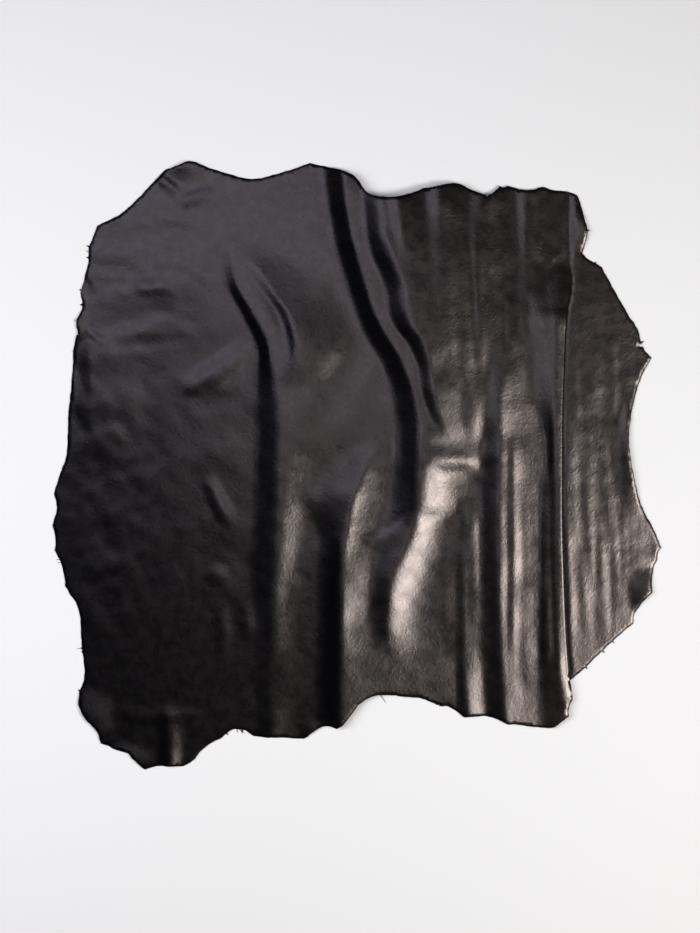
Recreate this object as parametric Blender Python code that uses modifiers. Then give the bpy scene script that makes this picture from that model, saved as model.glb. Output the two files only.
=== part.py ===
"""Black leather hide, one piece of calf skin lying on a table.

One sheet 1.6 mm thick: the broad left part lies in long soft folds, and near the right
side the skin is laid over itself in one pleat, so that a narrow wing comes out from
under a rolled fold.  The sheet is cut flat from its outline, with the length hidden in
the pleat added, and then folded.  Units are metres, +Z up, the neck edge towards +Y.
"""

import math

import bmesh
import bpy
import numpy as np
from mathutils import Vector
from mathutils.geometry import delaunay_2d_cdt, interpolate_bezier

MM = 0.001

# ---------------------------------------------------------------- driving dimensions (mm)
THICKNESS = 1.6            # split and shaved calf skin
EDGE_STEP = 15.0           # longest side along the cut edge
GRID_X = 15.5              # spacing of the points across the folds
GRID_Y = 32.0              # spacing of the points along the folds
CREST = 1.0                # a fold higher than this has points along its crest
CLEAR = 8.5                # no inner point nearer to the cut edge than this
COLLECTION = "leather_hide"
NAME = "hide"

# Cut edge seen from above, clockwise (x, y).  Every stretch is one smooth curve from the
# corner it starts at to the corner that the next stretch starts at; the corners are where
# the skin was pinched while it was stretched to dry.
PANEL_EDGE = (
    ("left shoulder", ((-430.0, 397.0), (-410.0, 406.0), (-386.0, 420.0), (-359.0, 445.5),
                       (-334.0, 472.0), (-318.0, 488.0), (-300.0, 495.0))),
    ("neck, left", ((-282.0, 503.0), (-270.0, 502.0), (-240.0, 491.0), (-200.0, 479.0),
                    (-170.0, 474.0), (-130.0, 483.0), (-100.0, 492.5))),
    ("neck, right", ((-77.0, 500.5), (-50.0, 494.0), (-20.0, 485.5), (-3.0, 476.5),
                     (10.0, 459.5), (22.0, 446.5), (50.0, 441.0), (80.0, 444.7),
                     (110.0, 456.0), (130.0, 459.0), (155.0, 465.0), (172.0, 463.5),
                     (195.0, 452.5), (218.0, 446.5), (228.0, 452.5))),
    ("first pinch", ((237.5, 462.0), (243.5, 459.3))),
    ("second pinch", ((250.0, 462.0), (265.0, 458.0), (285.0, 455.0))),
    ("right shoulder", ((310.0, 461.0), (325.0, 456.0), (350.0, 453.0), (364.0, 448.0),
                        (371.0, 434.0), (377.0, 409.5))),
    ("armpit", ((383.0, 390.5), (381.0, 377.0), (378.0, 364.6))),
)
WING_EDGE = (
    ("wing top", ((374.0, 351.0), (385.0, 340.4), (395.0, 335.0))),
    ("wing slope", ((406.7, 328.0), (421.0, 301.0), (450.0, 250.0), (466.0, 225.0))),
    ("elbow", ((471.5, 202.5), (479.8, 187.0))),
    ("flank", ((489.8, 178.4), (479.8, 162.0), (470.0, 141.0), (460.6, 110.0),
               (454.4, 80.0), (451.0, 50.0), (452.5, 20.0), (457.3, -10.0), (464.0, -40.0),
               (473.0, -70.0), (489.6, -101.0), (498.7, -121.0))),
    ("knee", ((505.2, -137.0), (499.0, -146.0))),
    ("shank", ((498.0, -157.4), (492.0, -172.0), (489.0, -195.0))),
    ("heel", ((489.8, -211.0), (472.5, -229.0), (460.5, -248.0))),
    ("wing foot", ((458.9, -262.5), (440.0, -278.0), (400.0, -315.0), (380.0, -335.0),
                   (362.0, -350.5))),
)
WING_END = (354.3, -357.2)  # where the wing's edge goes under the fold
TAIL_EDGE = (
    ("fold foot", ((352.3, -397.0), (350.0, -408.0))),
    ("rump, right corner", ((351.2, -415.0), (340.0, -424.6))),
    ("rump, right", ((326.7, -435.0), (305.0, -435.0), (280.0, -432.0), (265.0, -429.3))),
    ("rump, second", ((250.6, -429.7), (230.0, -419.7), (210.0, -416.5))),
    ("rump, third", ((178.0, -418.0), (165.0, -407.5), (150.0, -400.0))),
    ("tail bay", ((138.0, -399.5), (120.0, -391.5), (105.0, -386.0), (80.0, -384.0),
                  (50.0, -380.5), (25.0, -383.5), (5.0, -395.0), (-6.0, -409.0),
                  (-20.0, -427.0))),
    ("tail", ((-32.0, -436.8), (-47.0, -432.6), (-62.0, -436.0))),
    ("rump, left", ((-88.0, -454.5), (-120.0, -452.0), (-150.0, -451.5), (-172.0, -448.5),
                    (-186.0, -439.5), (-203.0, -438.0), (-215.0, -444.0))),
    ("thigh", ((-223.0, -452.0), (-240.0, -460.0), (-255.0, -471.0), (-272.0, -490.0))),
    ("hind toe", ((-287.0, -499.5), (-310.0, -499.5))),
    ("hind foot", ((-330.0, -498.5),)),
    ("hind leg", ((-351.5, -505.0), (-371.0, -487.0), (-380.0, -477.5), (-400.0, -472.0),
                  (-412.0, -465.5))),
    ("left corner", ((-424.0, -462.5), (-430.0, -442.0), (-450.0, -419.5),
                     (-460.0, -399.0), (-460.5, -382.0))),
    ("belly, lower", ((-458.5, -373.0), (-453.0, -361.0), (-451.0, -340.0),
                      (-454.0, -312.0), (-456.5, -290.0), (-458.0, -255.0),
                      (-465.0, -229.0), (-476.0, -213.0))),
    ("belly, pinch", ((-483.5, -200.5), (-484.0, -187.0), (-491.0, -160.0))),
    ("belly, second", ((-501.0, -142.0), (-498.7, -133.0), (-500.5, -115.0))),
    ("belly, third", ((-504.0, -100.0), (-497.0, -72.0))),
    ("belly, upper", ((-501.5, -48.0), (-493.5, -20.0), (-482.0, 11.0), (-479.0, 40.0),
                      (-478.0, 80.0), (-473.0, 130.0), (-470.0, 175.0))),
    ("left flank", ((-470.3, 188.0), (-467.0, 203.0))),
    ("left flank, nick", ((-464.0, 217.0), (-462.0, 221.0), (-463.5, 228.0))),
    ("left elbow", ((-464.3, 240.0), (-455.0, 260.0), (-455.0, 272.0))),
    ("left foreleg", ((-458.5, 285.0), (-450.5, 313.0), (-445.0, 335.0),
                      (-443.7, 360.0), (-436.0, 380.0))),
)

# The pleat, from its tip at the top down.
# y, x of the roll's crest, angle turned (deg), depth, radius of the roll, of the bend below
PLEAT = (
    (345.0, 352.0, 0.0, 0.0, 9.0, 7.0),
    (315.0, 350.5, 22.0, 0.0, 8.0, 6.0),
    (285.0, 348.0, 60.0, 0.0, 6.5, 4.5),
    (260.0, 345.5, 105.0, 1.0, 5.0, 3.2),
    (235.0, 343.8, 160.0, 3.0, 4.2, 2.4),
    (215.0, 342.6, 180.0, 6.0, 3.8, 2.0),
    (180.0, 341.4, 180.0, 10.0, 3.6, 2.0),
    (60.0, 338.0, 180.0, 20.0, 3.6, 2.0),
    (-80.0, 337.6, 180.0, 33.0, 3.8, 2.0),
    (-190.0, 340.3, 180.0, 43.0, 3.4, 2.0),
    (-290.0, 344.8, 180.0, 52.0, 2.8, 2.0),
    (-357.0, 350.6, 180.0, 57.5, 2.7, 2.0),
    (-385.0, 354.6, 180.0, 60.0, 2.7, 2.0),
    (-420.0, 358.0, 180.0, 60.0, 2.7, 2.0),
)
# Cut edge across the pleat, flat: distance past the roll's crest, y
PLEAT_CUT = ((0.0, -391.5), (4.5, -384.0))
APPROACH = (7.0, 14.0, 21.0)  # distances of the points in front of the roll
ROLL_SEGMENTS = 6
BEND_SEGMENTS = 4
PLEAT_ROWS = (345.0, 330.0, 315.0, 300.0, 285.0, 272.0, 260.0, 247.0, 235.0, 225.0, 215.0,
              198.0, 180.0, 157.0, 134.0, 110.0, 86.0, 62.0, 38.0, 14.0, -10.0, -34.0,
              -58.0, -82.0, -106.0, -130.0, -154.0, -178.0, -202.0, -226.0, -250.0,
              -274.0, -298.0, -320.0, -340.0)

# How the top layer climbs over the pleat.  y, height of the shelf over the pleat,
# distance from the crest where the climb starts, where it ends
SHELF = (
    (345.0, 0.0, 190.0, 12.0),
    (285.0, 2.5, 185.0, 14.0),
    (235.0, 6.0, 175.0, 18.0),
    (180.0, 7.0, 165.0, 40.0),
    (80.0, 7.0, 145.0, 85.0),
    (-200.0, 7.0, 140.0, 95.0),
    (-435.0, 7.0, 142.0, 100.0),
)
ROLL_WIDTH = 21.0          # the last rise of the top layer into the roll

# Long soft folds: y, x of the crest, height, width of the left side, of the right side
FOLDS = {
    "middle": (
        (520.0, -18.0, 16.0, 30.0, 46.0), (430.0, -8.0, 19.0, 28.0, 46.0),
        (370.0, 4.0, 21.0, 27.0, 46.0), (310.0, 21.0, 21.0, 28.0, 42.0),
        (250.0, 42.0, 20.0, 28.0, 38.0), (200.0, 69.0, 18.0, 28.0, 36.0),
        (155.0, 97.0, 16.0, 32.0, 28.0), (130.0, 101.0, 15.0, 34.0, 28.0),
        (70.0, 104.5, 15.5, 36.0, 36.0), (40.0, 104.0, 17.0, 36.0, 50.0),
        (15.0, 103.0, 18.0, 36.0, 88.0), (-60.0, 100.5, 18.0, 37.0, 80.0),
        (-95.0, 97.0, 17.5, 38.0, 72.0), (-125.0, 87.0, 17.0, 38.0, 72.0),
        (-150.0, 75.0, 17.0, 38.0, 76.0), (-180.0, 63.0, 17.0, 36.0, 84.0),
        (-220.0, 58.0, 16.0, 36.0, 86.0), (-260.0, 58.0, 13.0, 34.0, 84.0),
        (-300.0, 60.0, 8.0, 32.0, 80.0), (-340.0, 60.0, 3.0, 32.0, 70.0),
        (-400.0, 60.0, 0.0, 30.0, 60.0)),
    "middle, right ridge": (
        (480.0, 31.0, 4.0, 20.0, 60.0), (400.0, 42.0, 5.0, 20.0, 55.0),
        (310.0, 65.0, 6.0, 20.0, 50.0), (225.0, 98.0, 5.0, 20.0, 40.0),
        (160.0, 113.0, 5.0, 20.0, 40.0), (90.0, 128.0, 3.0, 20.0, 40.0),
        (50.0, 140.0, 0.0, 20.0, 40.0)),
    "second": (
        (30.0, 25.0, 0.0, 34.0, 34.0), (-10.0, 8.0, 5.0, 36.0, 38.0),
        (-50.0, -8.0, 9.0, 36.0, 40.0), (-100.0, -20.0, 12.0, 37.0, 40.0),
        (-160.0, -24.0, 14.0, 38.0, 40.0), (-300.0, -25.0, 14.0, 38.0, 40.0),
        (-450.0, -24.0, 12.0, 36.0, 36.0)),
    "left": (
        (385.0, -207.0, 0.0, 24.0, 24.0), (310.0, -200.0, 6.5, 25.0, 27.0),
        (250.0, -172.0, 8.0, 27.0, 27.0), (200.0, -148.0, 8.0, 30.0, 28.0),
        (150.0, -138.0, 8.0, 32.0, 32.0), (80.0, -136.0, 8.0, 34.0, 42.0),
        (-100.0, -137.0, 9.0, 36.0, 46.0), (-200.0, -139.0, 8.0, 34.0, 42.0),
        (-290.0, -142.0, 3.5, 30.0, 36.0), (-370.0, -142.0, 1.5, 30.0, 34.0),
        (-460.0, -140.0, 3.0, 30.0, 34.0)),
    "beside the pleat": (
        (320.0, 265.0, 0.0, 32.0, 40.0), (200.0, 252.0, 3.0, 32.0, 52.0),
        (80.0, 241.0, 7.0, 30.0, 68.0), (-100.0, 240.0, 8.5, 30.0, 70.0),
        (-300.0, 242.0, 9.5, 30.0, 72.0), (-440.0, 244.0, 9.5, 30.0, 72.0)),
    "between": (
        (-70.0, 177.0, 0.0, 18.0, 32.0), (-130.0, 177.0, 3.0, 18.0, 34.0),
        (-300.0, 178.0, 4.0, 18.0, 34.0), (-425.0, 178.0, 3.5, 18.0, 34.0)),
    "neck, far right": (
        (480.0, 232.0, 4.5, 34.0, 26.0), (400.0, 232.0, 3.5, 34.0, 26.0),
        (300.0, 228.0, 1.5, 32.0, 28.0), (220.0, 224.0, 0.0, 30.0, 28.0)),
    "neck, right": (
        (480.0, 92.0, 5.0, 40.0, 24.0), (400.0, 92.0, 4.0, 36.0, 24.0),
        (300.0, 90.0, 2.0, 30.0, 24.0), (240.0, 92.0, 0.0, 26.0, 24.0)),
    "hind leg": (
        (-380.0, -312.0, 0.0, 20.0, 32.0), (-430.0, -313.0, 3.0, 20.0, 32.0),
        (-510.0, -314.0, 6.0, 20.0, 32.0)),
}

# Edges that stand off the table: x, y, half width, half length, height
LIFTS = (
    (468.0, 20.0, 48.0, 120.0, 8.0),
    (486.0, -214.0, 40.0, 50.0, 5.0),
    (384.0, 395.0, 34.0, 48.0, 5.0),
    (-448.0, -425.0, 60.0, 66.0, 6.0),
    (-385.0, -492.0, 60.0, 40.0, 5.0),
    (-470.0, 232.0, 34.0, 40.0, 4.0),
    (-286.0, 508.0, 60.0, 44.0, 5.0),
    (-66.0, -448.0, 30.0, 30.0, 4.0),
)

# Slight waviness of the skin between the folds: wave length, direction (deg), phase, height
WAVES = (
    (310.0, 20.0, 0.4, 0.30),
    (215.0, 82.0, 1.3, 0.25),
    (160.0, -38.0, 2.1, 0.20),
    (118.0, 12.0, 0.7, 0.12),
)
# Flat patch that carries the underside: x, y, half width without inner points, where the
# waviness starts, where it is full
PATCH = (-300.0, 0.0, 42.0, 60.0, 150.0)

LEATHER_COLOUR = (0.012, 0.011, 0.012, 1.0)


# ---------------------------------------------------------------- small mathematics
def along(rows, y):
    """Values of a table's columns at height y, smooth and without overshoot."""
    table = np.array(sorted(rows))
    knots, values = table[:, 0], table[:, 1:]
    step = np.diff(knots)[:, None]
    slope = np.diff(values, axis=0) / step
    tangent = np.zeros_like(values)
    same = slope[:-1] * slope[1:] > 0
    total = np.where(same, slope[:-1] + slope[1:], 1.0)
    tangent[1:-1] = np.where(same, 2 * slope[:-1] * slope[1:] / total, 0.0)
    y = np.clip(y, knots[0], knots[-1])
    i = np.clip(np.searchsorted(knots, y, side="right") - 1, 0, len(knots) - 2)
    t = ((y - knots[i]) / (knots[i + 1] - knots[i]))[..., None]
    h = step[i]
    return ((2 * t**3 - 3 * t**2 + 1) * values[i] + (t**3 - 2 * t**2 + t) * h * tangent[i]
            + (3 * t**2 - 2 * t**3) * values[i + 1] + (t**3 - t**2) * h * tangent[i + 1])


def ramp(t, soft=0.25):
    """Rise from 0 to 1 over t = 0 to 1, straight in the middle and rounded at both ends."""
    t = np.clip(t, 0.0, 1.0)
    k = 2 * soft * (1 - soft)
    return np.where(t < soft, t**2 / k,
                    np.where(t > 1 - soft, 1 - (1 - t)**2 / k, (t - soft / 2) / (1 - soft)))


def bump(distance):
    """Round hill, 1 at distance 0 and 0 from distance 1 on."""
    return np.cos(np.minimum(distance, 1.0) * math.pi / 2)**2


# ---------------------------------------------------------------- the pleat
class Pleat:
    """Section of the pleat at the heights y: roll, run back, bend, and on to the wing."""

    def __init__(self, y):
        self.x, angle, self.depth, self.roll, self.bend = along(PLEAT, y).T
        self.angle = np.radians(angle)
        self.length = (self.roll + self.bend) * self.angle + self.depth
        self.drop = ((self.roll + self.bend) * (1 - np.cos(self.angle))
                     + self.depth * np.sin(self.angle))
        self.advance = ((self.roll + self.bend) * np.sin(self.angle)
                        + self.depth * np.cos(self.angle))
        self.hidden = self.length - self.advance

    def place(self, s):
        """Offset (x, z) from the crest at the length s past it, 0 <= s <= length."""
        s = np.clip(s, 0.0, self.length)
        first = self.roll * self.angle
        phi = np.minimum(s, first) / self.roll
        x = self.roll * np.sin(phi)
        z = -self.roll * (1 - np.cos(phi))
        run = np.clip(s - first, 0.0, self.depth)
        x += run * np.cos(self.angle)
        z -= run * np.sin(self.angle)
        rest = np.clip(s - first - self.depth, 0.0, None)
        phi = self.angle - rest / self.bend
        x += self.bend * (np.sin(self.angle) - np.sin(phi))
        z += self.bend * (np.cos(self.angle) - np.cos(phi))
        return x, z

    def columns(self, i):
        """Lengths past the crest of the points across row i."""
        angle, first = float(self.angle[i]), float((self.roll * self.angle)[i])
        depth, total = float(self.depth[i]), float(self.length[i])
        if angle < math.radians(12):
            return [0.0]
        if angle < math.radians(110):
            return [0.0, total / 2, total]
        roll = [first * k / ROLL_SEGMENTS for k in range(ROLL_SEGMENTS + 1)]
        bend = [first + depth + (total - first - depth) * k / BEND_SEGMENTS
                for k in range(1, BEND_SEGMENTS + 1)]
        middle = [first + depth * k / 3 for k in (1, 2, 3)] if depth > 18 else [first + depth]
        return roll + (middle if depth > 4 else []) + bend


# ---------------------------------------------------------------- heights of the sheet
def fold_height(x, y):
    """Height of the soft folds over the table."""
    height = np.zeros_like(x)
    for rows in FOLDS.values():
        crest, top, left, right = along(rows, y).T
        side = np.where(x < crest, (crest - x) / left, (x - crest) / right)
        height += top * (1 - ramp(side, 0.3))
    return height


def lift_height(x, y):
    """Height of the lifted stretches of edge."""
    height = np.zeros_like(x)
    for cx, cy, half_x, half_y, top in LIFTS:
        height += top * bump(np.hypot((x - cx) / half_x, (y - cy) / half_y))
    return height


def wave_height(x, y):
    """Height of the slight waviness, none over the flat patch."""
    height = np.zeros_like(x)
    for length, direction, phase, top in WAVES:
        angle = math.radians(direction)
        across = x * math.cos(angle) + y * math.sin(angle)
        height += top * (1 + np.sin(2 * math.pi * across / length + phase))
    cx, cy, _, start, full = PATCH
    return height * ramp((np.hypot(x - cx, y - cy) - start) / (full - start))


def shelf_height(x, y, pleat):
    """Height of the top layer over the pleat, up to the crest of the roll."""
    shelf, start, end = along(SHELF, y).T
    shelf = np.minimum(shelf, pleat.drop)
    away = np.clip(pleat.x - x, 0.0, None)
    climb = ramp((start - away) / (start - end))
    roll = (pleat.drop - shelf) * bump(away / ROLL_WIDTH)
    return shelf * climb + roll


def folded(u, y):
    """Place of the flat sheet's points (u, y) after folding, as rows of x, y, z in mm."""
    pleat = Pleat(y)
    past = u - pleat.x
    inside_x, inside_z = pleat.place(past)
    on_panel, on_wing = past <= 0, past >= pleat.length
    x = np.where(on_panel, u, np.where(on_wing, u - pleat.hidden, pleat.x + inside_x))
    calm = ramp((pleat.x - x) / 60.0)
    panel = fold_height(x, y) * calm + shelf_height(x, y, pleat)
    free = lift_height(x, y) + wave_height(x, y)
    lift = free * ramp((np.abs(x - pleat.x) - 10.0) / 25.0)
    z = np.where(on_panel, panel + lift,
                 np.where(on_wing, lift, pleat.drop + inside_z))
    return np.column_stack((x, y, z + THICKNESS / 2))


# ---------------------------------------------------------------- the flat blank
def stretch(points, end):
    """Points along one smooth curve through the points given, up to the corner end."""
    knots = [Vector((x, y, 0.0)) for x, y in points] + [Vector((end[0], end[1], 0.0))]
    before = [2 * knots[0] - knots[1]] + knots + [2 * knots[-1] - knots[-2]]
    placed = []
    for i in range(len(knots) - 1):
        a, b, c, d = before[i:i + 4]
        count = max(1, math.ceil((c - b).length / EDGE_STEP))
        curve = interpolate_bezier(b, b + (c - a) / 6, c - (d - b) / 6, c, count + 1)
        placed.extend((p.x, p.y) for p in curve[:-1])
    return placed


def edge(stretches, end):
    """Points along all the stretches, the last one ending at the corner end."""
    starts = [points[0] for _, points in stretches[1:]] + [end]
    return [p for (_, points), stop in zip(stretches, starts) for p in stretch(points, stop)]


def blank_outline():
    """Outline of the flat blank: the edge with the hidden length of the pleat added."""
    panel = edge(PANEL_EDGE, WING_EDGE[0][1][0])
    wing = np.array(edge(WING_EDGE, WING_END) + [WING_END])
    wing[:, 0] += Pleat(wing[:, 1]).hidden
    tail = edge(TAIL_EDGE, PANEL_EDGE[0][1][0])
    last = tuple(wing[-1])
    cut = []
    for s in Pleat(np.array([PLEAT_CUT[-1][1]])).columns(0):
        y = PLEAT_CUT[-1][1]
        for _ in range(6):
            crest = float(Pleat(np.array([y])).x[0])
            past = [PLEAT_CUT[0][0], PLEAT_CUT[1][0], last[0] - crest]
            y = float(np.interp(s, past, [PLEAT_CUT[0][1], PLEAT_CUT[1][1], last[1]]))
        cut.append((crest + s, y))
    return panel + [tuple(p) for p in wing] + cut[::-1] + tail


def pleat_row(y):
    """Points across the pleat at height y, and how many of them lie on its section."""
    section = Pleat(np.array([y]))
    x, lengths = float(section.x[0]), section.columns(0)
    row = [(x + s, y) for s in lengths]
    row += [(x - s, y) for s in APPROACH] + [(x + float(section.length[0]) + 14.0, y)]
    return row, len(lengths)


def grid_row(y, low, high):
    """Points across the panel and the wing at height y, and those that lie on a crest."""
    row = list(np.arange(low, high, GRID_X))
    crests = {}
    for name, rows in FOLDS.items():
        crest, top = along(rows, np.array([y]))[0][:2]
        if top > CREST and rows[-1][0] < y < rows[0][0]:
            nearest = min(range(len(row)), key=lambda i: abs(row[i] - crest))
            row[nearest] = float(crest)
            crests[name] = nearest
    section = Pleat(np.array([y]))
    left = float(section.x[0]) - APPROACH[-1] - 11.0
    right = float(section.x[0] + section.length[0]) + 25.0
    beside = PLEAT_ROWS[-1] - 60.0 < y < PLEAT_ROWS[0] + 12.0
    kept = [i for i, x in enumerate(row) if not beside or x < left or x > right]
    return ([(row[i], y) for i in kept],
            {name: kept.index(i) for name, i in crests.items() if i in kept})


def inner_points(outline):
    """Points inside the blank, and the chains of sides along the pleat and the crests."""
    points, chains, previous = [], [], []
    for y in PLEAT_ROWS:
        row, count = pleat_row(y)
        numbers = range(len(points), len(points) + count)
        if len(previous) == count:
            chains.extend(zip(previous, numbers))
        previous = list(numbers)
        points.extend(row)
    ring = np.array(outline)
    low, high = ring.min(axis=0), ring.max(axis=0)
    before = {}
    for y in np.arange(low[1] + GRID_Y / 3, high[1], GRID_Y):
        row, crests = grid_row(y, low[0] + GRID_X / 2, high[0])
        crests = {name: len(points) + i for name, i in crests.items()}
        chains.extend((before[name], i) for name, i in crests.items() if name in before)
        before = crests
        points.extend(row)
    kept, number = [], {}
    for i, (x, y) in enumerate(points):
        on_patch = math.hypot(x - PATCH[0], y - PATCH[1]) < PATCH[2]
        if not on_patch and inside(ring, x, y) and clearance(ring, x, y) > CLEAR:
            number[i] = len(kept)
            kept.append((x, y))
    return kept, [(number[a], number[b]) for a, b in chains if a in number and b in number]


def inside(ring, x, y):
    """Whether the point lies within the ring."""
    a, b = ring, np.roll(ring, -1, axis=0)
    crosses = (a[:, 1] > y) != (b[:, 1] > y)
    at = a[:, 0] + (y - a[:, 1]) * (b[:, 0] - a[:, 0]) / np.where(crosses, b[:, 1] - a[:, 1], 1)
    return bool(np.count_nonzero(crosses & (at > x)) % 2)


def clearance(ring, x, y):
    """Distance from the point to the ring."""
    a, d = ring, np.roll(ring, -1, axis=0) - ring
    w = np.array((x, y)) - a
    t = np.clip((w * d).sum(axis=1) / (d * d).sum(axis=1), 0, 1)[:, None]
    return float(np.hypot(*(w - t * d).T).min())


def build_sheet():
    """The folded sheet as a mesh of its middle surface."""
    outline = blank_outline()
    points, chains = inner_points(outline)
    count = len(outline)
    places = [Vector(p) for p in outline] + [Vector(p) for p in points]
    sides = [(a + count, b + count) for a, b in chains]
    flat, _, faces, _, _, _ = delaunay_2d_cdt(places, sides, [list(range(count))], 1, 1e-4)
    placed = folded(np.array([p.x for p in flat]), np.array([p.y for p in flat])) * MM
    low, high = placed.min(axis=0), placed.max(axis=0)
    placed -= ((low[0] + high[0]) / 2, (low[1] + high[1]) / 2, 0.0)
    mesh = bpy.data.meshes.new(NAME)
    mesh.from_pydata([tuple(p) for p in placed], [], faces)
    shape = bmesh.new()
    shape.from_mesh(mesh)
    bmesh.ops.delete(shape, geom=[v for v in shape.verts if not v.link_faces], context="VERTS")
    top = max(shape.faces, key=lambda face: face.calc_area())
    if top.normal.z < 0:
        bmesh.ops.reverse_faces(shape, faces=shape.faces)
    shape.to_mesh(mesh)
    shape.free()
    return mesh


def leather():
    """Black calf leather, full grain."""
    material = bpy.data.materials.new("black_calf_leather")
    material.use_nodes = True
    shader = material.node_tree.nodes["Principled BSDF"]
    shader.inputs["Base Color"].default_value = LEATHER_COLOUR
    shader.inputs["Roughness"].default_value = 0.45
    material.diffuse_color = LEATHER_COLOUR
    return material


def main():
    for item in list(bpy.data.objects):
        bpy.data.objects.remove(item, do_unlink=True)
    collection = bpy.data.collections.new(COLLECTION)
    bpy.context.scene.collection.children.link(collection)
    hide = bpy.data.objects.new(NAME, build_sheet())
    hide.data.materials.append(leather())
    collection.objects.link(hide)
    solid = hide.modifiers.new("thickness", "SOLIDIFY")
    solid.thickness = THICKNESS * MM
    solid.offset = 0.0
    solid.use_even_offset = False


main()
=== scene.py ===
"""Looks of a black leather hide: one calf skin that lies in long soft folds on a pale table.

The skin is cut flat from its outline, folded over itself in one pleat near the right side,
and laid down in folds, creases and ripples that are placed one by one.  Lengths in the
tables are millimetres, x to the right and y towards the neck, from the middle of the hide;
the finished meshes are in metres.
"""

import logging
import math
from dataclasses import dataclass, field, replace
from enum import Enum

import bmesh
import bpy
import numpy as np
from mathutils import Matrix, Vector
from mathutils.geometry import delaunay_2d_cdt, interpolate_bezier
from mathutils.kdtree import KDTree


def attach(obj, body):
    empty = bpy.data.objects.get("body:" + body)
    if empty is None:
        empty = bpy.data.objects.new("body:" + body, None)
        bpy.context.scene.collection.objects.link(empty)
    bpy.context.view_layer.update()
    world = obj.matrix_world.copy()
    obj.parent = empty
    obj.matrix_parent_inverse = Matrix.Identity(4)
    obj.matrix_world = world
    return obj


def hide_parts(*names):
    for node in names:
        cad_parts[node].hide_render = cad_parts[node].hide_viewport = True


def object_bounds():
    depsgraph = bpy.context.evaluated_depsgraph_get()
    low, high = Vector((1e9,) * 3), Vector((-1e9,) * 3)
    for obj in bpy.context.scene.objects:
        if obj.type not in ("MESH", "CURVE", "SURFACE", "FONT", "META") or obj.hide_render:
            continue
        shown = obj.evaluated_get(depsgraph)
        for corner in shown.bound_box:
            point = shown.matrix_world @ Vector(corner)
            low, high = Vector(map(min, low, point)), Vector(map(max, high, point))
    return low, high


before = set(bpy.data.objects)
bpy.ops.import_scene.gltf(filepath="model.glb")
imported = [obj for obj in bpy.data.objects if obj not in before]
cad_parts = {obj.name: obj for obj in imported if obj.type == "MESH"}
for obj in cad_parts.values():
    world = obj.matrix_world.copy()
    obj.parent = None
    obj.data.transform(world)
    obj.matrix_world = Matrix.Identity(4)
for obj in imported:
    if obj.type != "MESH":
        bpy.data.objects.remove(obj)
CAD_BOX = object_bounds()

logging.basicConfig(level=logging.INFO, format="%(message)s")
LOG = logging.getLogger("hide")

Array = np.ndarray
Row = tuple[float, ...]
Point = tuple[float, float]
Vec3 = tuple[float, float, float]
Stretch = tuple[str, tuple[Point, ...]]

MM = 0.001
NODE = "hide"
BODY = "root"
INSIDE = 1             # the triangulation keeps what lies inside the outline
MERGE = 1e-4           # mm between points that it takes as one

# ---------------- cut edge, clockwise
PANEL_EDGE: tuple[Stretch, ...] = (
    ("left shoulder", ((-430, 397), (-410, 406), (-386, 420), (-359, 445.5), (-334, 472), (-318, 488),
        (-300, 495))),
    ("neck, left", ((-282, 503), (-270, 502), (-240, 491), (-200, 479), (-170, 474), (-130, 483),
        (-100, 492.5))),
    ("neck, right", ((-77, 500.5), (-50, 494), (-20, 485.5), (-3, 476.5), (10, 459.5), (22, 446.5),
        (50, 441), (80, 444.7), (110, 456), (130, 459), (155, 465), (172, 463.5), (195, 452.5),
        (218, 446.5), (228, 452.5))),
    ("first pinch", ((237.5, 462), (243.5, 459.3))),
    ("second pinch", ((250, 462), (265, 458), (285, 455))),
    ("right shoulder", ((310, 461), (325, 456), (350, 453), (364, 448), (371, 434), (377, 409.5))),
    ("armpit", ((383, 390.5), (381, 377), (378, 364.6))),
)
WING_EDGE: tuple[Stretch, ...] = (
    ("wing top", ((374, 351), (385, 340.4), (395, 335))),
    ("wing slope", ((406.7, 328), (421, 301), (450, 250), (466, 225))),
    ("elbow", ((471.5, 202.5), (479.8, 187))),
    ("flank", ((489.8, 178.4), (479.8, 162), (470, 141), (460.6, 110), (454.4, 80), (451, 50),
        (452.5, 20), (457.3, -10), (464, -40), (473, -70), (489.6, -101), (498.7, -121))),
    ("knee", ((505.2, -137), (499, -146))),
    ("shank", ((498, -157.4), (492, -172), (489, -195))),
    ("heel", ((489.8, -211), (472.5, -229), (460.5, -248))),
    ("wing foot", ((458.9, -262.5), (440, -278), (400, -315), (380, -335), (362, -350.5))),
)
WING_END: Point = (354.3, -357.2)      # where the wing's edge goes under the fold
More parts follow.
